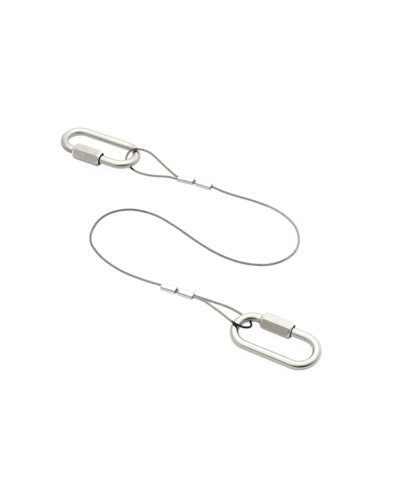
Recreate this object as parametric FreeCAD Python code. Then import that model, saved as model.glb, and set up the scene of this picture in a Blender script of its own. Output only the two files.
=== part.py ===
"""Wire-rope safety lanyard with a screw quick link at each end.

One thin steel rope lies on its resting surface in a long S.  Each end is turned back into an eye
and closed by two crimped double-barrel ferrules.  Each eye goes round the end bend of an oval
quick link: a bent rod with a gate in one side, closed by a hexagonal sleeve nut.

Units are millimetres.  Z is up, z = 0 is the resting surface, and the origin is midway between
the two links.  X runs along the links.
"""
import FreeCAD, Part
import math
import os

V = FreeCAD.Vector

# Quick link: a round rod bent to an oval with two straight sides.
ROD_D = 4.0
LINK_LENGTH = 41.0
LINK_WIDTH = 19.0
GATE = 5.5              # gap between the two threaded rod ends
THREAD_D = 4.6          # the rolled thread stands proud of the rod; drawn as a plain cylinder
THREAD_GRIP = 2.5       # how far the closed nut reaches over the rod end beyond the gate
THREAD_COVER = 0.4      # how far the threads stop short of the closed nut's two ends
THREAD_BEVEL = 0.4

# Sleeve nut.
NUT_AF = 7.0            # across the flats
NUT_LENGTH = 14.0
NUT_BEVEL = 1.1         # length of the turned bevel at each end
NUT_START = -9.6        # closed nut's end, measured from the link's centre along its axis
THREAD_CLEARANCE = 0.05
MOUTH_FLARE = 0.4       # countersink of the bore's mouths, on the radius
MOUTH_DEPTH = 0.6
MOUTH_RIM = 0.2         # flat ring between the mouth and the bevel

# Ferrule: two barrels side by side with a grooved waist between them.
ROPE_D = 1.0
BARREL_WALL = 0.6
BARREL_PITCH = 1.6
WAIST_R = 0.3           # hollow radius of the groove
FERRULE_LENGTH = 7.0
FERRULE_GAP = 1.3       # bare rope between the two ferrules of one eye
RIM = 0.15              # bevel on the ferrule's end rims
BARREL_R = ROPE_D / 2 + BARREL_WALL

# Places of the links on the surface: centre and heading of each.
LINK_X = 62.3
LINK_Y = 35.1
LINK_TURN = 1.14        # degrees; the two links turn opposite ways

# Rope's route, from the tail in the left ferrules to the tail in the right ferrules.  Each point
# is a corner of the route, and an arc rounds it.  LIE is the height of the rope's middle where it
# lies on the surface, and GRIP the height of the ferrules' bores.
LIE = ROPE_D / 2
GRIP = BARREL_R
ROUTE = [
    (-4.10, 36.02, GRIP), (-12.19, 35.59, GRIP), (-21.20, 34.17, GRIP),
    (-25.2, 33.95, 0.9), (-29.6, 32.3, 0.7), (-34.6, 30.75, LIE), (-39.7, 30.35, LIE),
    (-43.9, 31.5, LIE), (-47.0, 32.9, LIE), (-48.5, 34.8, 1.0), (-49.0, 37.0, 2.1),
    (-48.2, 38.8, 3.6), (-46.2, 39.9, 4.9), (-41.3, 41.5, 5.0), (-36.7, 41.5, 3.6),
    (-32.2, 40.0, 2.0), (-27.6, 38.1, 1.4), (-22.10, 35.65, GRIP), (-12.36, 37.19, GRIP),
    (-3.70, 37.65, GRIP), (0.5, 36.95, LIE), (7.2, 36.8, LIE), (18.0, 38.15, LIE),
    (30.3, 37.8, LIE), (43.0, 31.7, LIE), (48.8, 18.5, LIE), (43.2, 6.3, LIE),
    (31.7, 0.7, LIE), (18.6, 0.1, LIE), (5.2, 3.1, LIE), (-7.2, 7.2, LIE),
    (-19.9, 10.1, LIE), (-32.8, 7.7, LIE), (-41.4, -2.1, LIE), (-39.7, -17.1, LIE),
    (-30.3, -24.2, LIE), (-17.2, -28.4, LIE), (-4.6, -28.4, LIE), (2.60, -28.35, GRIP),
    (11.85, -27.35, GRIP), (21.90, -27.18, GRIP), (28.5, -25.8, LIE), (34.2, -25.4, 0.6),
    (39.6, -25.9, LIE), (44.4, -27.0, LIE), (47.7, -28.7, 0.7), (49.3, -30.9, 1.4),
    (49.4, -33.4, 2.8), (47.7, -35.7, 4.3), (44.0, -36.4, 5.5), (40.1, -35.0, 5.2),
    (35.3, -32.3, 3.8), (30.7, -30.0, 2.4), (26.6, -28.1, 1.7), (21.90, -28.81, GRIP),
    (12.00, -28.95, GRIP), (3.90, -29.83, GRIP),
]
ROUTE_ARC = 0.45        # part of the shorter run that each arc takes up

# The bend in the strands between the two ferrules of an eye, as the route's two corners there,
# and the corners before and after, which give the two barrels' headings.
LEFT_JOINT = ((0, 1, 2), (19, 18, 17))
RIGHT_JOINT = ((56, 55, 54), (38, 39, 40))

# Derived sizes.
BEND_R = (LINK_WIDTH - ROD_D) / 2
HALF_STRAIGHT = (LINK_LENGTH - ROD_D) / 2 - BEND_R
NUT_AXIS_Z = NUT_AF / 2
LINK_TILT = math.degrees(math.asin((NUT_AXIS_Z - ROD_D / 2) / (2 * BEND_R)))
LINK_Z = (NUT_AXIS_Z + ROD_D / 2) / 2
BORE_R = THREAD_D / 2 + THREAD_CLEARANCE
MOUTH_R = BORE_R + MOUTH_FLARE
NUT_FACE_R = MOUTH_R + MOUTH_RIM
NUT_END = NUT_START + NUT_LENGTH
GATE_START = NUT_START + THREAD_GRIP
GATE_END = GATE_START + GATE


def cylinder_x(diameter, x0, x1, y=0.0):
    """Round bar along X from x0 to x1 at the given y."""
    return Part.makeCylinder(diameter / 2, x1 - x0, V(x0, y, 0), V(1, 0, 0))


def turned(profile):
    """Solid turned about X from a closed outline of (x, radius) points."""
    points = [V(x, r, 0) for x, r in profile]
    face = Part.Face(Part.makePolygon(points + points[:1]))
    return face.revolve(V(0, 0, 0), V(1, 0, 0), 360)


def bend(x):
    """Half ring at one end of the link; x is the centre of its bend, and its sign the side."""
    ring = Part.makeCircle(ROD_D / 2, V(x, -BEND_R, 0), V(1, 0, 0))
    sweep = math.copysign(180, x)
    return Part.Face(Part.Wire(ring)).revolve(V(x, 0, 0), V(0, 0, 1), sweep)


def stub_thread(x0, x1, tip):
    """Thread cylinder on a rod end, bevelled at the tip that faces the gate."""
    thread = cylinder_x(THREAD_D, x0, x1)
    edges = [e for e in thread.Edges if e.Length < 3.3 * THREAD_D and near_x(e, tip)]
    return thread.makeChamfer(THREAD_BEVEL, edges).translated(V(0, -BEND_R, 0))


def near_x(edge, x):
    """True for a round edge that lies in the plane at x."""
    return abs(edge.BoundBox.XMin - x) < 1e-6 and abs(edge.BoundBox.XMax - x) < 1e-6


def link_body():
    """Bent rod with its two threaded ends, flat in XY, with the gate on the -Y side."""
    parts = [
        cylinder_x(ROD_D, -HALF_STRAIGHT, GATE_START - THREAD_BEVEL, -BEND_R),
        cylinder_x(ROD_D, GATE_END + THREAD_BEVEL, HALF_STRAIGHT, -BEND_R),
        cylinder_x(ROD_D, -HALF_STRAIGHT, HALF_STRAIGHT, BEND_R),
        bend(-HALF_STRAIGHT),
        bend(HALF_STRAIGHT),
        stub_thread(NUT_START + THREAD_COVER, GATE_START, GATE_START),
        stub_thread(GATE_END, NUT_END - THREAD_COVER, GATE_END),
    ]
    return parts[0].fuse(parts[1:]).removeSplitter()


def sleeve_nut():
    """Hexagonal sleeve along X from x = 0, lying on a flat, with bevelled ends and a bore."""
    corner_r = NUT_AF / math.sqrt(3)
    corners = [V(0, corner_r * math.cos(a), corner_r * math.sin(a))
               for a in (math.radians(60 * i) for i in range(6))]
    hexagon = Part.Face(Part.makePolygon(corners + corners[:1]))
    prism = hexagon.extrude(V(NUT_LENGTH, 0, 0))
    blank = turned([(0, 0), (0, NUT_FACE_R), (NUT_BEVEL, corner_r),
                    (NUT_LENGTH - NUT_BEVEL, corner_r), (NUT_LENGTH, NUT_FACE_R), (NUT_LENGTH, 0)])
    bore = turned([(0, 0), (0, MOUTH_R), (MOUTH_DEPTH, BORE_R),
                   (NUT_LENGTH - MOUTH_DEPTH, BORE_R), (NUT_LENGTH, MOUTH_R), (NUT_LENGTH, 0)])
    return prism.common(blank).cut(bore)


def on_surface(shape, side, roll, height, along=0.0, across=0.0):
    """Lay a link piece down: roll it about its long axis, then set it at its link's place.

    side is -1 for the left link and +1 for the right one.
    """
    turn = FreeCAD.Rotation(V(0, 0, 1), -side * LINK_TURN)
    centre = V(side * LINK_X, -side * LINK_Y, height)
    spot = FreeCAD.Placement(centre, turn)
    rolled = FreeCAD.Placement(V(along, across, 0), FreeCAD.Rotation(V(1, 0, 0), roll))
    placed = shape.copy()
    placed.Placement = spot.multiply(rolled)
    return placed


def link_pieces(side):
    """Body and nut of one link.  The right link lies turned over, so its nut is at the back."""
    roll = -LINK_TILT if side < 0 else 180 + LINK_TILT
    across = side * BEND_R * math.cos(math.radians(LINK_TILT))
    body = on_surface(link_body(), side, roll, LINK_Z)
    nut = on_surface(sleeve_nut(), side, 0, NUT_AXIS_Z, NUT_START, across)
    return body, nut


def ferrule_section():
    """Outline of the double barrel in YZ: two round barrels and a hollow groove each side."""
    half = BARREL_PITCH / 2
    groove_z = math.sqrt((BARREL_R + WAIST_R) ** 2 - half ** 2)
    share = BARREL_R / (BARREL_R + WAIST_R)
    touch = V(0, half - half * share, groove_z * share)
    waist = groove_z - WAIST_R

    def at(y_sign, z_sign):
        return V(0, y_sign * touch.y, z_sign * touch.z)

    edges = [
        Part.Arc(at(1, -1), V(0, half + BARREL_R, 0), at(1, 1)).toShape(),
        Part.Arc(at(1, 1), V(0, 0, waist), at(-1, 1)).toShape(),
        Part.Arc(at(-1, 1), V(0, -half - BARREL_R, 0), at(-1, -1)).toShape(),
        Part.Arc(at(-1, -1), V(0, 0, -waist), at(1, -1)).toShape(),
    ]
    return Part.Face(Part.Wire(edges))


def ferrule():
    """Crimped double-barrel ferrule along X from x = 0, with two bores the rope's size."""
    blank = ferrule_section().extrude(V(FERRULE_LENGTH, 0, 0))
    rims = [e for e in blank.Edges if near_x(e, 0) or near_x(e, FERRULE_LENGTH)]
    blank = blank.makeChamfer(RIM, rims)
    r = ROPE_D / 2
    hole = turned([(0, 0), (0, r + RIM), (RIM, r), (FERRULE_LENGTH - RIM, r),
                   (FERRULE_LENGTH, r + RIM), (FERRULE_LENGTH, 0)])
    half = BARREL_PITCH / 2
    return blank.cut([hole.translated(V(0, half, 0)), hole.translated(V(0, -half, 0))])


def ferrule_pair(joint):
    """The two ferrules of an eye, each laid along the pair of strands that it grips."""
    middle = (V(*ROUTE[joint[0][1]]) + V(*ROUTE[joint[1][1]])) * 0.5
    pair = []
    for end in (0, 2):
        outer = (V(*ROUTE[joint[0][end]]) + V(*ROUTE[joint[1][end]])) * 0.5
        strand = V(*ROUTE[joint[0][end]]) - V(*ROUTE[joint[0][1]])
        heading = math.degrees(math.atan2(strand.y, strand.x))
        away = V(outer.x - middle.x, outer.y - middle.y, 0).normalize()
        spot = FreeCAD.Placement(V(middle.x, middle.y, BARREL_R) + away * (FERRULE_GAP / 2),
                                 FreeCAD.Rotation(V(0, 0, 1), heading))
        piece = ferrule()
        piece.Placement = spot
        pair.append(piece)
    return pair


def rope_path():
    """Straight runs joined by tangent arcs, with the arcs' turns and radii."""
    points = [V(*p) for p in ROUTE]
    edges = []
    bends = []
    start = points[0]
    for before, corner, after in zip(points, points[1:], points[2:]):
        back = before - corner
        ahead = after - corner
        reach = ROUTE_ARC * min(back.Length, ahead.Length)
        half_turn = (math.pi - back.getAngle(ahead)) / 2
        radius = reach / math.tan(half_turn)
        back.normalize()
        ahead.normalize()
        inward = (back + ahead).normalize()
        first = corner + back * reach
        last = corner + ahead * reach
        middle = corner + inward * (radius / math.cos(half_turn) - radius)
        edges.append(Part.LineSegment(start, first).toShape())
        edges.append(Part.Arc(first, middle, last).toShape())
        bends.append((2 * math.degrees(half_turn), radius))
        start = last
    edges.append(Part.LineSegment(start, points[-1]).toShape())
    return Part.Wire(edges), bends


def wire_rope():
    """Plain round tube along the route."""
    path, bends = rope_path()
    start = V(*ROUTE[0])
    heading = V(*ROUTE[1]) - start
    section = Part.Wire(Part.makeCircle(ROPE_D / 2, start, heading))
    tube = path.makePipeShell([section], True, False)
    expected = math.pi * (ROPE_D / 2) ** 2 * path.Length
    print("rope length %.1f mm, volume %.3f of section times length" %
          (path.Length, tube.Volume / expected))
    for number, (turn, radius) in enumerate(bends, 1):
        print("corner %2d turns %5.1f deg, radius %6.1f mm" % (number, turn, radius))
    return tube


def main():
    left_body, left_nut = link_pieces(-1)
    right_body, right_nut = link_pieces(1)
    left_outer, left_inner = ferrule_pair(LEFT_JOINT)
    right_outer, right_inner = ferrule_pair(RIGHT_JOINT)
    nodes = {
        "wire_rope": wire_rope(),
        "left_ferrule_eye": left_inner,
        "left_ferrule_tail": left_outer,
        "right_ferrule_eye": right_inner,
        "right_ferrule_tail": right_outer,
        "left_link_body": left_body,
        "left_link_nut": left_nut,
        "right_link_body": right_body,
        "right_link_nut": right_nut,
    }
    os.makedirs("parts", exist_ok=True)
    for name, shape in nodes.items():
        shape.exportStep("parts/%s.step" % name)
        print("%-20s valid %s volume %8.2f" % (name, shape.isValid(), shape.Volume))


main()
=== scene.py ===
import math

import bpy
import numpy as np
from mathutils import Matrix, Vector


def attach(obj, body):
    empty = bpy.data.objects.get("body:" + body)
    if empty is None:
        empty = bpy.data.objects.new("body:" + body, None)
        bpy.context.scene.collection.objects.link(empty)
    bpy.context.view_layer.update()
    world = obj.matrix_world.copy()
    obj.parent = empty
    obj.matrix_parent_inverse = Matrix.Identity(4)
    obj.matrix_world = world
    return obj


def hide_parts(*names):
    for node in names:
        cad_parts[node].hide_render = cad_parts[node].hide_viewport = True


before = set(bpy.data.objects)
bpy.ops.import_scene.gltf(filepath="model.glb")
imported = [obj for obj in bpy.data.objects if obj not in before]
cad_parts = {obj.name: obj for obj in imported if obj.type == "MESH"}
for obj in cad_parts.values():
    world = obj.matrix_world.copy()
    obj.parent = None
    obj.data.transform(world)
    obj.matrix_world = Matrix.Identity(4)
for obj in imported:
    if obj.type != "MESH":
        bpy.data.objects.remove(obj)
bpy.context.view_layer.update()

# ---------------------------------------------------------------------------------------------
# Camera.  A long lens looks down at the lanyard from the front right, with the far link at the
# left and the near link at the right.
# ---------------------------------------------------------------------------------------------
CAMERA_PLACE = (0.210126, -0.394295, 0.473731)
CAMERA_DIP = 46.975
CAMERA_TURN = 26.955
CAMERA_LENS = 104.09
CAMERA_SENSOR = 36.0
camera = bpy.data.objects.new("camera", bpy.data.cameras.new("camera"))
camera.location = CAMERA_PLACE
camera.rotation_euler = (math.radians(90 - CAMERA_DIP), 0.0, math.radians(CAMERA_TURN))
camera.data.lens = CAMERA_LENS
camera.data.sensor_width = CAMERA_SENSOR
camera.data.clip_start = 0.01
camera.data.clip_end = 20.0
bpy.context.scene.collection.objects.link(camera)
bpy.context.scene.camera = camera

# ---------------------------------------------------------------------------------------------
# Rope.  One length of bright stainless wire rope, 1 mm thick: six strands laid round a core, each
# strand of fine wires twisted the other way.  It lies in an S, each end turned back round a link.
# A mesh of the strands follows the route and rides on the rope's body.
# ---------------------------------------------------------------------------------------------
ROPE_ROUTE = [
    (-3.93, 35.99, 1.25), (-12.14, 35.57, 1.25), (-18.45, 34.61, 1.25), (-21.41, 34.16, 1.15),
    (-25.2, 33.95, 0.9), (-29.6, 32.3, 0.7), (-34.6, 30.75, 0.5), (-39.7, 30.35, 0.5),
    (-43.9, 31.5, 0.5), (-47.0, 32.9, 0.5), (-48.5, 34.8, 1.0), (-49.0, 37.0, 2.1),
    (-48.25, 38.8, 3.65), (-46.2, 39.95, 5.0), (-41.3, 41.4, 5.0), (-36.7, 41.3, 3.6),
    (-32.2, 39.8, 2.0), (-27.4, 38.0, 1.4), (-21.57, 35.3, 1.3), (-18.61, 35.7, 1.25),
    (-12.26, 36.67, 1.25), (-3.84, 37.09, 1.25), (0.5, 37.05, 0.5), (7.2, 37.1, 0.5),
    (18.0, 38.15, 0.5), (30.3, 37.75, 0.5), (43.0, 31.75, 0.5), (49.15, 18.4, 0.5),
    (43.4, 6.05, 0.5), (31.8, 0.45, 0.5), (18.6, 0.0, 0.5), (5.2, 3.1, 0.5), (-7.2, 7.15, 0.5),
    (-19.9, 9.9, 0.5), (-32.65, 7.4, 0.5), (-41.0, -2.4, 0.5), (-39.4, -17.0, 0.5),
    (-30.3, -24.2, 0.5), (-17.2, -28.2, 0.5), (-4.6, -28.3, 0.5), (4.43, -27.95, 1.25),
    (12.01, -27.21, 1.25), (18.02, -26.94, 1.25), (21.0, -26.65, 1.2), (28.5, -25.75, 0.5),
    (34.2, -25.4, 0.6), (39.6, -25.9, 0.5), (44.4, -27.0, 0.5), (47.7, -28.7, 0.7),
    (49.3, -30.9, 1.4), (49.4, -33.4, 2.8), (47.7, -35.7, 4.3), (44.0, -36.4, 5.5),
    (40.1, -35.0, 5.2), (35.3, -32.3, 3.8), (30.7, -30.0, 2.4), (26.4, -28.1, 1.7),
    (21.1, -27.5, 1.5), (18.06, -28.04, 1.25), (12.09, -28.31, 1.25), (4.69, -29.04, 1.25),
]
ROPE_R = 0.0005
CROWN_R = 0.00053
STRANDS = 6
STRAND_R = 0.00019
ROPE_LAY = 0.0064
ROPE_ROWS = 1720
SAMPLES_PER_STRAND = 8
ROUTE_STEPS = 24


def route_line(name, points_mm):
    """Points along the smooth curve of a route, and the length of the curve, in metres."""
    curve = bpy.data.curves.new(name, "CURVE")
    curve.dimensions = "3D"
    curve.resolution_u = ROUTE_STEPS
    spline = curve.splines.new("NURBS")
    spline.points.add(len(points_mm) - 1)
    control = np.c_[np.array(points_mm) / 1000, np.ones(len(points_mm))]
    spline.points.foreach_set("co", control.ravel())
    spline.order_u = 3
    spline.use_endpoint_u = True
    holder = bpy.data.objects.new(name, curve)
    bpy.context.scene.collection.objects.link(holder)
    bpy.context.view_layer.update()
    shown = holder.evaluated_get(bpy.context.evaluated_depsgraph_get())
    line = bpy.data.meshes.new_from_object(shown)
    points = np.empty(len(line.vertices) * 3)
    line.vertices.foreach_get("co", points)
    bpy.data.objects.remove(holder)
    bpy.data.meshes.remove(line)
    points = points.reshape(-1, 3)
    steps = np.linalg.norm(np.diff(points, axis=0), axis=1)
    return points, np.r_[0.0, np.cumsum(steps)]


def grid_piece(name, grid, uv, close_rows=False, caps=False):
    """Mesh object from a grid of points, rows by columns.

    The columns always join round.  The rows join round too with close_rows, or each end gets a
    flat cap with caps.  uv holds the map's place of each grid point, with one more column, and
    one more row where the rows join.
    """
    rows, columns = grid.shape[:2]
    index = np.arange(rows * columns).reshape(rows, columns)
    index = np.c_[index, index[:, :1]]
    if close_rows:
        index = np.r_[index, index[:1]]
    faces = np.stack([index[:-1, :-1], index[1:, :-1], index[1:, 1:], index[:-1, 1:]], axis=-1)
    corners = np.stack([uv[:-1, :-1], uv[1:, :-1], uv[1:, 1:], uv[:-1, 1:]], axis=-2)
    faces = faces.reshape(-1, 4).tolist()
    corners = corners.reshape(-1, 2)
    if caps:
        faces += [index[0, :-1].tolist(), index[-1, -2::-1].tolist()]
        corners = np.r_[corners, uv[0, :-1], uv[-1, -2::-1]]
    mesh = bpy.data.meshes.new(name)
    mesh.from_pydata(grid.reshape(-1, 3), [], faces)
    mesh.uv_layers.new(name="along").uv.foreach_set("vector", corners.astype(np.float32).ravel())
    mesh.shade_smooth()
    piece = bpy.data.objects.new(name, mesh)
    bpy.context.scene.collection.objects.link(piece)
    return piece


class Shade:
    """A value on a surface, held as a shader socket.  Sums and products of it add Math nodes."""

    def __init__(self, tree, socket=None):
        self.tree = tree
        self.socket = socket

    def add(self, kind, settings=None, values=None, out=0):
        """New node of a kind, held by one of its outputs.

        Its settings come first, and then the values or links of its sockets.
        """
        node = self.tree.nodes.new("ShaderNode" + kind)
        for name, value in (settings or {}).items():
            setattr(node, name, value)
        for name, value in (values or {}).items():
            if isinstance(value, Shade):
                self.tree.links.new(value.socket, node.inputs[name])
            else:
                node.inputs[name].default_value = value
        return Shade(self.tree, node.outputs[out])

    def math(self, operation, first, second=0.0):
        return self.add("Math", {"operation": operation}, {0: first, 1: second})

    def __add__(self, other):
        return self.math("ADD", self, other)

    def __sub__(self, other):
        return self.math("SUBTRACT", self, other)

    def __rsub__(self, other):
        return self.math("SUBTRACT", other, self)

    def __mul__(self, other):
        return self.math("MULTIPLY", self, other)

    __radd__ = __add__

    def sine(self):
        return self.math("SINE", self)

    def part(self, axis):
        """One coordinate, "X", "Y" or "Z", of a place or a direction."""
        return self.add("SeparateXYZ", None, {0: self}, axis)

    def ramp(self, low, high, kind="SMOOTHSTEP"):
        """0 below low, 1 above high and a smooth or LINEAR rise between them."""
        return self.add("MapRange", {"interpolation_type": kind},
                        {"Value": self, "From Min": low, "From Max": high})

    def blend(self, first, second):
        """Colour that goes from the first at 0 to the second at 1.  Either may be a shade.

        Sockets 6 and 7 of the node are its two colours, and output 2 is the mixed colour.
        """
        first, second = (c if isinstance(c, Shade) else (*c, 1) for c in (first, second))
        return self.add("Mix", {"data_type": "RGBA"}, {0: self, 6: first, 7: second}, 2)


def finish_material(name):
    """New material with its shader, and the start of its tree."""
    material = bpy.data.materials.new(name)
    material.use_nodes = True
    shader = material.node_tree.nodes["Principled BSDF"]
    return material, shader, Shade(material.node_tree)


def connect(shade, shader, socket):
    """Links a shade to a named socket of a shader node."""
    shade.tree.links.new(shade.socket, shader.inputs[socket])


GROOVE_SHADE = (0.022, 0.019, 0.015)
CROWN_HIGHLIGHT_METAL = (0.89, 0.845, 0.77)
ROPE_SHADOW = (0.012, 0.010, 0.007)
WIRES_PER_STRAND = 3
WIRES_PER_MM = 2
LIGHTER_STRETCHES = ((126, 160, 0.34), (382, 409, 0.30))
DARKER_STRETCHES = ((98, 124, 0.10), (168, 291, 0.20), (241, 272, 0.20), (291, 312, 0.10))
SHADOWED_STRETCHES = ((366, 381.5, 0.96), (38.6, 41.4, 0.95), (51.5, 55.5, 0.55))


def stretches(along, table):
    """Sum of soft-ended stretches of the rope, and 0 elsewhere.

    Each row of the table holds the first and last place, in millimetres from the rope's first
    end, and the value between them.
    """
    soft = 1.0
    total = 0.0
    for first, last, value in table:
        inside = (along.ramp(first - soft, first + soft) - along.ramp(last - soft, last + soft))
        total = inside * value + total
    return total


def rope_material():
    """Bare stainless strands with fine wires: the metal's colour with a painted highlight on the
    crowns, and painted shade in the grooves.

    Some stretches are lighter and others darker, and painted shadow darkens the rope where it
    passes beneath a rod and where the eyes wrap round the links.
    """
    material, shader, start = finish_material("rope_wire")
    place = start.add("UVMap", {"uv_map": "along"})
    along = place.part("X")
    around = place.part("Y")
    across = around.math("PINGPONG", around, 0.5)
    # Painted highlight on the strand crowns and painted shade in the grooves between them.
    crown = across.ramp(0.20, 0.42)
    twist = around * (2 * math.pi * WIRES_PER_STRAND) + along * (2 * math.pi * WIRES_PER_MM)
    wires = twist.sine()
    spots = start.add("TexNoise", None, {
        "Vector": start.add("TexCoord", out="Object"), "Scale": 900.0, "Detail": 3.0})
    # Some stretches of the rope are made lighter and others darker.
    stretch_tone = 1 + stretches(along, LIGHTER_STRETCHES) - stretches(along, DARKER_STRETCHES)
    wire = ((crown * 0.80 + spots * 0.20) * stretch_tone).blend(GROOVE_SHADE, CROWN_HIGHLIGHT_METAL)
    # Painted shadow darkens the rope where it passes beneath a rod and where the eyes wrap round
    # the links.
    connect(stretches(along, SHADOWED_STRETCHES).blend(wire, ROPE_SHADOW), shader, "Base Color")
    connect(0.46 - crown * 0.20, shader, "Roughness")
    height = wires * 0.5 + spots * 0.5
    connect(start.add("Bump", None, {"Strength": 0.35, "Distance": 0.00004, "Height": height}),
            shader, "Normal")
    shader.inputs["Metallic"].default_value = 1.0
    return material


def rope_surface(line, reach):
    """Strand surface along the line, as a grid of points and its map.

    Round the axis the radius is the outermost of six circles: b cos d + sqrt(a a - (b sin d)^2),
    where a is the strand's radius, b the distance of its middle from the axis, and d the angle
    from the nearest strand.  The pattern turns once in every lay.  The axis is raised by what
    the crowns stand out past the rope's radius.
    """
    along = np.linspace(0.0, reach[-1], ROPE_ROWS)
    middle = np.stack([np.interp(along, reach, line[:, axis]) for axis in range(3)], axis=1)
    middle[:, 2] += CROWN_R - ROPE_R
    heading = np.gradient(middle, along, axis=0)
    heading /= np.linalg.norm(heading, axis=1, keepdims=True)
    side = np.cross(heading, (0.0, 0.0, 1.0))
    side /= np.linalg.norm(side, axis=1, keepdims=True)
    above = np.cross(side, heading)
    columns = STRANDS * SAMPLES_PER_STRAND
    turn = np.arange(columns) / columns * 2 * math.pi
    centre_r = CROWN_R - STRAND_R
    off = (turn + math.pi / STRANDS) % (2 * math.pi / STRANDS) - math.pi / STRANDS
    radius = centre_r * np.cos(off) + np.sqrt(STRAND_R ** 2 - (centre_r * np.sin(off)) ** 2)
    angle = turn[None, :] + along[:, None] / ROPE_LAY * 2 * math.pi
    spread = (np.cos(angle)[..., None] * side[:, None, :]
              + np.sin(angle)[..., None] * above[:, None, :])
    grid = middle[:, None, :] + spread * radius[None, :, None]
    place = np.empty((ROPE_ROWS, columns + 1, 2))
    place[..., 0] = along[:, None] * 1000
    place[..., 1] = np.arange(columns + 1)[None, :] / SAMPLES_PER_STRAND
    return middle, grid, place


rope_line, rope_reach = route_line("rope_route", ROPE_ROUTE)
rope_middle, rope_grid, rope_place = rope_surface(rope_line, rope_reach)
rope = grid_piece("rope_strands", rope_grid, rope_place, caps=True)
rope.data.materials.append(rope_material())
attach(rope, "rope")
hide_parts("wire_rope")

# ---------------------------------------------------------------------------------------------
# Ferrules.  Four double-barrel sleeves of soft bright metal, 2.5 mm high, each pressed between two
# dies over both strands of an eye.  Each is a surface of its own, rides with the rope and stands
# for its solid.
# ---------------------------------------------------------------------------------------------
FERRULE_R = 1.25
STRAND_PITCH = 1.1
WAIST_ROUND = 0.015
FLASH_HEIGHT = 0.06
FLASH_WIDTH = 0.08
RIM_R = 0.2
RIM_STEPS = 7
BODY_FROM = 0.6
BODY_STEPS = 12
FERRULE_COLUMNS = 144
FERRULE_GAP = 1.3
SHARP_FROM = 50
FERRULES = {"left": ((-12.2, 36.12), 7.7, {"eye": (-20.57, 34.84), "tail": (-3.49, 36.56)}),
            "right": ((12.05, -27.76), 6.9, {"eye": (19.47, -27.43), "tail": (4.41, -28.51)})}


def ferrule_surface(length):
    """Pressed sleeve along X, as a grid of points and its map.

    At the angle t the section is the outermost of two circles: b c + sqrt(a a - (b sin t)^2),
    where a is their radius, b half the pitch of the strands and c the size of cos t, rounded
    at the waist.  A thin flash of exp(-(z / width)^2) stands out at each side where the dies
    meet, and the rim is a quarter round.
    """
    turn = -np.linspace(0, 2 * math.pi, FERRULE_COLUMNS, endpoint=False)
    rim = np.linspace(0, RIM_R, RIM_STEPS)
    body = np.linspace(BODY_FROM, length - BODY_FROM, BODY_STEPS)
    x = np.r_[rim, body, length - rim[::-1]]
    inward = np.clip(RIM_R - np.minimum(x, length - x), 0, RIM_R)
    radius = (FERRULE_R - RIM_R + np.sqrt(RIM_R ** 2 - inward ** 2))[:, None]
    half = STRAND_PITCH / 2
    outer = (half * np.sqrt(np.cos(turn) ** 2 + WAIST_ROUND)
             + np.sqrt(radius ** 2 - (half * np.sin(turn)) ** 2))
    z = outer * np.sin(turn)
    outer = outer + FLASH_HEIGHT * np.exp(-(z / FLASH_WIDTH) ** 2)
    y = outer * np.cos(turn)
    place = np.empty((len(x), len(turn) + 1, 2))
    place[..., 0] = x[:, None]
    place[..., 1] = -np.linspace(0, 1, len(turn) + 1)[None, :]
    return np.stack([np.broadcast_to(x[:, None], y.shape), y, z], axis=-1), place


FERRULE_SHADE = (0.0, 0.0, 0.0)
FERRULE_SHINE = (1.0, 0.995, 0.96)


def ferrule_material():
    """Pressed soft metal, with light and shade painted by which way the surface faces: a painted
    highlight on top, painted shade in the crease below it and at the rims, and a painted
    reflection of the table on the flanks.

    The marks of the dies are a faint grain.
    """
    material, shader, start = finish_material("ferrule_metal")
    place = start.add("TexCoord", out="Object")
    cloud = start.add("TexNoise", None, {"Vector": place, "Scale": 500.0, "Detail": 4.0})
    grain = start.add("TexNoise", None, {"Vector": place, "Scale": 6000.0, "Detail": 2.0})
    facing = start.add("TexCoord", out="Normal")
    upward = facing.part("Z")
    endward = facing.part("X")
    # Painted light by facing: a highlight on top, shade in the crease and at the rims, and a
    # reflection of the table on the flanks.
    crown = upward.ramp(0.84, 0.93)
    crease = upward.ramp(0.66, 0.76) * (1 - upward.ramp(0.82, 0.90))
    rim = (endward * endward).ramp(0.04, 0.25)
    flank = upward.ramp(0.10, 0.24) * upward.ramp(0.66, 0.52)
    tone_with_painted_light = crown * 0.38 + 0.50 + flank * 0.28 + cloud * 0.08
    tone = tone_with_painted_light * (1 - crease * 0.30) * (1 - rim * 0.5)
    connect(tone.blend(FERRULE_SHADE, FERRULE_SHINE), shader, "Base Color")
    connect(0.26 + cloud * 0.12, shader, "Roughness")
    connect(start.add("Bump", None, {"Strength": 0.15, "Distance": 0.00002, "Height": grain}),
            shader, "Normal")
    shader.inputs["Metallic"].default_value = 1.0
    return material


ferrule_metal = ferrule_material()
for side, (middle, length, ends) in FERRULES.items():
    ferrule_grid, ferrule_place = ferrule_surface(length)
    for end, spot in ends.items():
        heading = math.atan2(spot[1] - middle[1], spot[0] - middle[0])
        cos_h, sin_h = math.cos(heading), math.sin(heading)
        axes = np.array([(cos_h, sin_h, 0), (-sin_h, cos_h, 0), (0, 0, 1)])
        turned = (ferrule_grid + (FERRULE_GAP / 2, 0, 0)) @ axes
        ferrule = grid_piece(side + "_sleeve_" + end, (turned + (*middle, FERRULE_R)) / 1000,
                             ferrule_place, caps=True)
        ferrule.data.set_sharp_from_angle(angle=math.radians(SHARP_FROM))
        ferrule.data.materials.append(ferrule_metal)
        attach(ferrule, "rope")
        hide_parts(side + "_ferrule_" + end)

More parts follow.
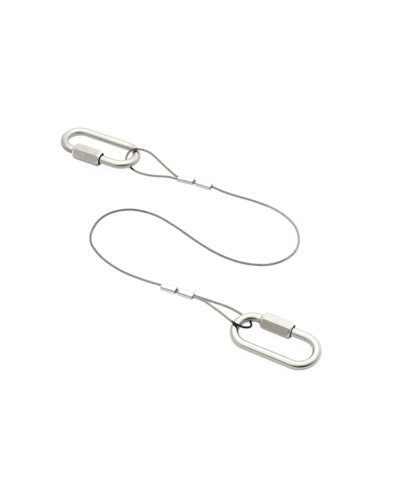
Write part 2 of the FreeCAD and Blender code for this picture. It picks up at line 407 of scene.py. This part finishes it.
# ---------------------------------------------------------------------------------------------
# Quick link rods.  Round stainless rod, 4 mm thick, bent to an oval 41 by 19 mm with a gate in one
# side.  Its two ends carry a rolled right-hand thread, and the whole rod is tumbled to a polish.
# Each is one closed surface, rides on its link's body and stands for the solid rod.
# ---------------------------------------------------------------------------------------------
ROD_R = 2.0
BEND_R = 7.5
HALF_STRAIGHT = 11.0
GATE = (-7.1, -1.6)
THREADS = (-10.4, 4.0)
THREAD_CREST = 2.3
THREAD_ROOT = 1.94
THREAD_PITCH = 0.7
THREAD_STEP = 0.05
THREAD_LAST_STEP = 0.02
THREAD_FLANKS = 1.3
THREAD_FLATS = 0.15
THREAD_RUN_OUT = 0.3
CUT_FROM = 0.35
TIP_CUT = 0.05
SMOOTH_FROM = 10.4
SMOOTH_TO = 4.6
SMOOTH_STEPS = 9
BACK_STEPS = 23
BEND_STEPS = 61
ROD_COLUMNS = 72
DARKEST_TO = 11.0
NUT_HALF_FLATS = 3.5
LINK_TILT = math.asin((NUT_HALF_FLATS - ROD_R) / (2 * BEND_R))
LINK_PLACE = {"left": (-62.3, 35.1, math.radians(1.14), -LINK_TILT),
              "right": (62.3, -35.1, math.radians(-1.14), math.pi + LINK_TILT)}


def lay_link(points_mm, side):
    """Points of a flat link, rolled about its long axis and set at its place, in metres."""
    x, y, heading, roll = LINK_PLACE[side]
    cos_r, sin_r = math.cos(roll), math.sin(roll)
    cos_h, sin_h = math.cos(heading), math.sin(heading)
    rolled = points_mm @ np.array([(1, 0, 0), (0, cos_r, -sin_r), (0, sin_r, cos_r)]).T
    turned = rolled @ np.array([(cos_h, -sin_h, 0), (sin_h, cos_h, 0), (0, 0, 1)]).T
    return (turned + (x, y, (NUT_HALF_FLATS + ROD_R) / 2)) / 1000


def rod_surface():
    """Rod from one thread tip round the oval to the other, as a grid of points and its map.

    The middle line is a straight, a half circle, a straight, a half circle and a straight.  The
    radius is the rod's, and on the threads it is the root plus a flat-topped triangle wave of
    (place along the rod / pitch - angle / full turn), cut by a cone at the tip.
    """
    far = np.arange(GATE[0], THREAD_LAST_STEP - HALF_STRAIGHT, -THREAD_STEP)
    back = np.linspace(-HALF_STRAIGHT, HALF_STRAIGHT, BACK_STEPS)
    cut_part = np.arange(THREADS[1] + CUT_FROM, GATE[1], -THREAD_STEP)
    near = np.r_[np.linspace(SMOOTH_FROM, SMOOTH_TO, SMOOTH_STEPS), cut_part, GATE[1]]
    sweep = np.linspace(0, math.pi, BEND_STEPS)
    left = -math.pi / 2 - sweep
    right = math.pi / 2 - sweep
    x = np.r_[far, -HALF_STRAIGHT + BEND_R * np.cos(left), back[1:-1],
              HALF_STRAIGHT + BEND_R * np.cos(right), near]
    y = np.r_[np.full(len(far), -BEND_R), BEND_R * np.sin(left), np.full(len(back) - 2, BEND_R),
              BEND_R * np.sin(right), np.full(len(near), -BEND_R)]
    out = np.r_[np.full(len(far), -math.pi / 2), left, np.full(len(back) - 2, math.pi / 2),
                right, np.full(len(near), -math.pi / 2)]
    turn = -np.linspace(0, 2 * math.pi, ROD_COLUMNS, endpoint=False)
    wave = np.abs(2 * ((x[:, None] / THREAD_PITCH - turn[None, :] / (2 * math.pi)) % 1) - 1)
    profile = np.clip(THREAD_FLANKS * wave - THREAD_FLATS, 0, 1)
    cut = THREAD_ROOT + (THREAD_CREST - THREAD_ROOT) * profile
    gate_side = y < -BEND_R + 1e-6
    threaded = gate_side & (x > THREADS[0]) & (x < THREADS[1])
    from_shoulder = np.minimum(x - THREADS[0], THREADS[1] - x)
    share = np.clip(np.where(threaded, from_shoulder / THREAD_RUN_OUT, 0.0), 0, 1)[:, None]
    from_tip = np.minimum(np.abs(x - GATE[0]), np.abs(x - GATE[1]))
    cone = THREAD_ROOT - TIP_CUT + np.where(gate_side, from_tip, 2 * HALF_STRAIGHT)[:, None]
    radius = np.minimum(ROD_R + (cut - ROD_R) * share, cone)
    ring_x = x[:, None] + radius * np.cos(turn) * np.cos(out)[:, None]
    ring_y = y[:, None] + radius * np.cos(turn) * np.sin(out)[:, None]
    ring_z = radius * np.sin(turn)
    along = np.r_[0.0, np.cumsum(np.hypot(np.diff(x), np.diff(y)))]
    place = np.empty((len(x), len(turn) + 1, 2))
    place[..., 0] = along[:, None]
    place[..., 1] = -np.linspace(0, 1, len(turn) + 1)[None, :]
    return np.stack([ring_x, ring_y, ring_z], axis=-1), place


ROD_BRIGHT = ((0.66, 0.645, 0.603), (0.722, 0.706, 0.662))
ROD_LOWER_SIDE_SHADE = ((0.383, 0.37, 0.318), (0.444, 0.43, 0.372))
ROD_DARKEST = (0.05, 0.042, 0.03)


def rod_material():
    """Tumbled stainless rod, softly polished: faint drawing lines along it and small dents.

    Its lower side is painted darker as shade, and darker still beside the nut, from the far thread
    end into the bend.
    """
    material, shader, start = finish_material("link_steel")
    place = start.add("UVMap", {"uv_map": "along"})
    along = place.part("X")
    angle = place.part("Y") * (2 * math.pi)
    drawn = start.add("CombineXYZ", None, {
        "X": angle.sine() * 9.0, "Y": (angle + math.pi / 2).sine() * 9.0, "Z": along * 0.25})
    lines = start.add("TexNoise", None, {"Vector": drawn, "Scale": 1.0, "Detail": 4.0})
    cloud = start.add("TexNoise", None, {
        "Vector": start.add("TexCoord", out="Object"), "Scale": 260.0, "Detail": 3.0})
    connect(0.06 + cloud * 0.08 + lines * 0.04, shader, "Roughness")
    # Painted shade: the lower side of the rod takes the darker colour.
    lit_upper_side = angle.sine().ramp(0.08, 0.66)
    bright = cloud.blend(*ROD_BRIGHT)
    lower_side_shade = cloud.blend(*ROD_LOWER_SIDE_SHADE)
    # The lower side is darker still beside the nut, from the far thread end into the bend.
    darkest_share = (1 - along.ramp(DARKEST_TO - 4, DARKEST_TO + 1)) * 0.45
    shaded_lower_side = darkest_share.blend(lower_side_shade, ROD_DARKEST)
    connect(lit_upper_side.blend(shaded_lower_side, bright), shader, "Base Color")
    height = lines * 0.6 + cloud * 0.8
    connect(start.add("Bump", None, {"Strength": 0.12, "Distance": 0.00006, "Height": height}),
            shader, "Normal")
    shader.inputs["Metallic"].default_value = 1.0
    return material


link_steel = rod_material()
rod_grid, rod_place = rod_surface()
for side in ("left", "right"):
    rod = grid_piece(side + "_link_rod", lay_link(rod_grid, side),
                     rod_place + (0.0, 0.0 if side == "left" else 0.5), caps=True)
    rod.data.set_sharp_from_angle(angle=math.radians(SHARP_FROM))
    rod.data.materials.append(link_steel)
    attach(rod, side + "_link")
    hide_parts(side + "_link_body")

# ---------------------------------------------------------------------------------------------
# Sleeve nuts.  Hexagonal stainless bar, 7 mm across the flats and 14 mm long, drilled and tapped
# right through and turned to a bevel at both ends.  It screws along the rod over the gate, rides
# on its own body and stands for the solid nut.
# ---------------------------------------------------------------------------------------------
NUT_LENGTH = 14.0
NUT_START = -9.6
NUT_BEVEL = 1.2
BORE_R = 2.35
MOUTH_R = 3.0
MOUTH_DEPTH = 0.9
FACE_R = 3.1
CORNER_SHARPNESS = 70
BEVEL_SHARPNESS = 60.0
NUT_COLUMNS = 216
FACE_ROWS = (0.0, 0.04, 0.1)
BEVEL_ROWS = 16
FLAT_ROWS = 12
CONE_ONLY = 0.15
TAP_STEP = 0.09
TAP_PITCH = 0.7
TAP_DEPTH = 0.14
TAP_FROM = 0.3
TAP_ENDS = 0.02
MAP_SEAM = 0.2
NUT_SHARP_FROM = 25


def nut_surface():
    """Nut along X from 0, as a grid of points and its map.

    Across the bar the radius is the half width over the n-th root of the sum of the n-th powers
    of the cosines to the six flats, which rounds the corners a little.  The bevel is a cone, and
    the outside is the smooth least of the two.  The bore is a round hole with a shallow tapped
    thread and a cone at each mouth.
    """
    turn = -np.linspace(0, 2 * math.pi, NUT_COLUMNS, endpoint=False)
    flats = np.arange(6) * math.pi / 3 + math.pi / 2
    cosines = np.clip(np.cos(turn[:, None] - flats[None, :]), 0, None)
    hexagon = NUT_HALF_FLATS / (cosines ** CORNER_SHARPNESS).sum(1) ** (1 / CORNER_SHARPNESS)
    edge = np.r_[FACE_ROWS, np.linspace(0.2, NUT_BEVEL + 0.3, BEVEL_ROWS)]
    outside = np.r_[edge, np.linspace(NUT_BEVEL + 1, NUT_LENGTH - NUT_BEVEL - 1, FLAT_ROWS),
                    NUT_LENGTH - edge[::-1]]
    from_end = np.minimum(outside, NUT_LENGTH - outside)
    corner_r = NUT_HALF_FLATS / math.cos(math.pi / 6)
    cone = FACE_R + from_end * (corner_r - FACE_R) / NUT_BEVEL
    both = hexagon[None, :] ** -BEVEL_SHARPNESS + cone[:, None] ** -BEVEL_SHARPNESS
    shell = both ** (-1 / BEVEL_SHARPNESS)
    shell = np.where(from_end[:, None] < CONE_ONLY, np.minimum(shell, cone[:, None]), shell)
    inside = np.r_[NUT_LENGTH, NUT_LENGTH - TAP_ENDS, NUT_LENGTH - MOUTH_DEPTH,
                   np.arange(NUT_LENGTH - MOUTH_DEPTH - 0.08, MOUTH_DEPTH, -TAP_STEP),
                   MOUTH_DEPTH, TAP_ENDS, 0.0]
    deep = np.minimum(inside, NUT_LENGTH - inside)
    mouth = MOUTH_R - deep * (MOUTH_R - BORE_R) / MOUTH_DEPTH
    helix = inside[:, None] / TAP_PITCH - turn[None, :] / (2 * math.pi)
    wave = np.abs(2 * (helix % 1) - 1)
    tapped = BORE_R + TAP_DEPTH * wave * (deep[:, None] > TAP_FROM)
    bore = np.maximum(mouth[:, None], tapped)
    x = np.r_[outside, inside]
    radius = np.r_[shell, bore]
    grid = np.stack([np.broadcast_to(x[:, None], radius.shape),
                     radius * np.cos(turn), radius * np.sin(turn)], axis=-1)
    place = np.empty((len(x) + 1, len(turn) + 1, 2))
    along = np.r_[0.0, np.cumsum(np.hypot(np.diff(x), np.diff(radius[:, 0])))]
    place[:-1, :, 0] = along[:, None]
    place[-1, :, 0] = along[-1] + MAP_SEAM
    place[..., 1] = -np.linspace(0, 1, len(turn) + 1)[None, :]
    return grid, place


MILLED = ((0.41, 0.372, 0.31), (1.0, 0.955, 0.875))
TOP_FLAT_SHADE = ((0.37, 0.354, 0.315), (0.90, 0.885, 0.835))
BEVEL_SHADE_TO_HIGHLIGHT = ((0.56, 0.54, 0.50), (1.0, 0.99, 0.96))
NUT_FACING_DOWN_SHADE = (0.17, 0.16, 0.145)
BORE_SHADE = (0.006, 0.006, 0.006)


def nut_material():
    """Drawn hexagonal bar: satin flats with fine lines along them, and turned bevels painted
    lighter where they face up and darker where they face down.

    The flat on top is painted a little darker as shade, the faces that look down carry painted
    shade, and the bore is painted near-black as shade.
    """
    material, shader, start = finish_material("nut_steel")
    place = start.add("UVMap", {"uv_map": "along"})
    along = place.part("X")
    around = place.part("Y")
    angle = around * (2 * math.pi)
    drawn = start.add("CombineXYZ", None, {
        "X": angle.sine() * 30.0, "Y": (angle + math.pi / 2).sine() * 30.0, "Z": along * 0.35})
    lines = start.add("TexNoise", None, {"Vector": drawn, "Scale": 1.0, "Detail": 5.0})
    cloud = start.add("TexNoise", None, {
        "Vector": start.add("TexCoord", out="Object"), "Scale": 300.0, "Detail": 3.0})
    facing = start.add("TexCoord", out="Normal")
    endward = facing.part("X")
    turned = (endward * endward).ramp(0.04, 0.25)
    rise = facing.part("Z")
    # Painted shade on the faces that look down.
    facing_down_shade = rise.ramp(0.05, -0.35)
    # Painted shade: the bore inside the nut is near-black.
    tapped = along.ramp(NUT_LENGTH + 0.75, NUT_LENGTH + 0.95)
    tone = lines * 0.7 + cloud * 0.3
    # Painted shade: the top flat takes a darker copy of the flats' colours.
    flats = rise.ramp(0.6, 0.9).blend(tone.blend(*MILLED), tone.blend(*TOP_FLAT_SHADE))
    # Painted light on the bevels: lighter where they face up as highlight, darker where they face
    # down as shade.
    outside = turned.blend(flats, rise.ramp(-0.1, 0.45).blend(*BEVEL_SHADE_TO_HIGHLIGHT))
    connect(tapped.blend(facing_down_shade.blend(outside, NUT_FACING_DOWN_SHADE), BORE_SHADE), shader, "Base Color")
    connect(0.22 + cloud * 0.16 + turned * 0.15, shader, "Roughness")
    connect(start.add("Bump", None, {"Strength": 0.3, "Distance": 0.00004, "Height": lines}),
            shader, "Normal")
    shader.inputs["Metallic"].default_value = 1.0
    return material


nut_steel = nut_material()
nut_grid, nut_place = nut_surface()
nut_grid = nut_grid + (NUT_START, 0.0, 0.0)
for side in ("left", "right"):
    x, y, heading, roll = LINK_PLACE[side]
    sign = -1 if side == "left" else 1
    middle = np.array((0.0, sign * BEND_R * math.cos(LINK_TILT), 0.0))
    cos_h, sin_h = math.cos(heading), math.sin(heading)
    turned = (nut_grid + middle) @ np.array([(cos_h, -sin_h, 0), (sin_h, cos_h, 0), (0, 0, 1)]).T
    nut = grid_piece(side + "_sleeve_nut", (turned + (x, y, NUT_HALF_FLATS)) / 1000, nut_place,
                     close_rows=True)
    nut.data.set_sharp_from_angle(angle=math.radians(NUT_SHARP_FROM))
    nut.data.materials.append(nut_steel)
    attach(nut, side + "_nut")
    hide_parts(side + "_link_nut")

# ---------------------------------------------------------------------------------------------
# Studio.  A pale table under a large light tent, bright overhead and behind and darker where the
# camera stands, with one soft lamp above.  Rays that would show the surround see plain white.
# ---------------------------------------------------------------------------------------------


def stage_piece(name, points, faces):
    """Object from points and faces that belongs to the studio and not to the part."""
    mesh = bpy.data.meshes.new(name)
    mesh.from_pydata(points, [], faces)
    mesh.shade_smooth()
    piece = bpy.data.objects.new(name, mesh)
    bpy.context.scene.collection.objects.link(piece)
    return piece


def plainly_seen(start):
    """1 for rays that show the white surround: straight, reflected or through glass."""
    path = start.tree.nodes.new("ShaderNodeLightPath")
    straight, glossy, through = (Shade(start.tree, path.outputs[name]) for name in (
        "Is Camera Ray", "Is Glossy Ray", "Is Transmission Ray"))
    shown = straight + glossy + through
    return shown.math("MINIMUM", shown, 1.0)


def show(shade):
    """Gives the material of a shader its surface."""
    output = shade.tree.nodes["Material Output"]
    shade.tree.links.new(shade.socket, output.inputs["Surface"])


WHITE = (1, 1, 1, 1)
TABLE = 3.0
TABLE_COLOUR = (0.90, 0.90, 0.90, 1)
TABLE_GLOW = 0.92
TABLE_GLOW_STRENGTH = 1.02
table = stage_piece("table", [(-TABLE, -TABLE, 0), (TABLE, -TABLE, 0), (TABLE, TABLE, 0),
                              (-TABLE, TABLE, 0)], [(0, 1, 2, 3)])
table_white, table_shader, table_start = finish_material("table_white")
table_shader.inputs["Base Color"].default_value = TABLE_COLOUR
table_shader.inputs["Roughness"].default_value = 0.9
table_shader.inputs["Specular IOR Level"].default_value = 0.0
glow = table_start.add("Emission", None, {"Color": WHITE, "Strength": TABLE_GLOW_STRENGTH})
show(table_start.add("MixShader", None, {
    0: plainly_seen(table_start) * TABLE_GLOW,
    1: Shade(table_start.tree, table_shader.outputs[0]), 2: glow}))
table.data.materials.append(table_white)

TENT_R = 0.55
TENT_TURNS = 64
TENT_RISES = 24
TOP_LIGHT = 0.90
LOW_LIGHT = 0.40
BACK_LIGHT = 0.34
BACK_TURN = -150
STAND_TURN = -14
STAND_RISE = 6
STAND_DARKNESS = 0.96
TENT_SCALE = 1 / 0.68


def direction(turn, rise):
    """Direction at a turn in degrees to the left of the camera, and a rise above the table."""
    level = math.radians(CAMERA_TURN) - math.radians(90) - math.radians(turn)
    up = math.radians(rise)
    return (math.cos(level) * math.cos(up), math.sin(level) * math.cos(up), math.sin(up))


turns = np.linspace(0, 2 * math.pi, TENT_TURNS, endpoint=False)[None, :]
rises = np.linspace(-0.02, math.pi / 2 - 0.01, TENT_RISES)[:, None]
dome = TENT_R * np.stack([np.cos(turns) * np.cos(rises), np.sin(turns) * np.cos(rises),
                          np.sin(rises) + 0 * turns], axis=-1)
index = np.arange(TENT_TURNS * TENT_RISES).reshape(TENT_RISES, TENT_TURNS)
index = np.c_[index, index[:, :1]]
walls = np.stack([index[:-1, :-1], index[:-1, 1:], index[1:, 1:], index[1:, :-1]], axis=-1)
tent = stage_piece("light_tent", dome.reshape(-1, 3),
                   walls.reshape(-1, 4).tolist() + [index[-1, :-1].tolist()])
tent.visible_camera = False
tent_cloth, _, tent_start = finish_material("tent_cloth")
ray = tent_start.add("VectorMath", {"operation": "NORMALIZE"}, {
    0: tent_start.add("TexCoord", out="Object")})


def toward(turn, rise):
    """Cosine of the angle between the place on the tent and a direction."""
    return ray.add("VectorMath", {"operation": "DOT_PRODUCT"},
                   {0: ray, 1: direction(turn, rise)}, "Value")


low_wall = toward(BACK_TURN, 0).ramp(math.cos(math.radians(80)), 0.95) * BACK_LIGHT + LOW_LIGHT
overhead = toward(0, 90).ramp(math.sin(math.radians(20)), math.sin(math.radians(60)))
wall = low_wall + (TOP_LIGHT - low_wall) * overhead
stand = toward(STAND_TURN, STAND_RISE).ramp(
    math.cos(math.radians(60)), math.cos(math.radians(12)), "LINEAR")
brightness = wall * (1 - stand * STAND_DARKNESS) * TENT_SCALE
show(tent_start.add("Emission", None, {"Color": WHITE, "Strength": brightness}))
tent_cloth.cycles.emission_sampling = "NONE"
tent.data.materials.append(tent_cloth)

LAMP_SIZE = (0.3, 0.2)
LAMP_POWER = 0.06
LAMP_PLACE = (-0.10, 0.17, 0.42)
lamp = bpy.data.objects.new("soft_lamp", bpy.data.lights.new("soft_lamp", "AREA"))
lamp.data.shape = "RECTANGLE"
lamp.data.size, lamp.data.size_y = LAMP_SIZE
lamp.data.energy = LAMP_POWER
lamp.location = LAMP_PLACE
lamp.rotation_euler = Vector(lamp.location).to_track_quat("Z", "Y").to_euler()
bpy.context.scene.collection.objects.link(lamp)

world = bpy.data.worlds.new("surround")
world.use_nodes = True
bpy.context.scene.world = world
background = world.node_tree.nodes["Background"]
background.inputs["Color"].default_value = WHITE
connect(plainly_seen(Shade(world.node_tree)) * 0.3 + 0.7, background, "Strength")
bpy.context.scene.view_settings.view_transform = "Standard"
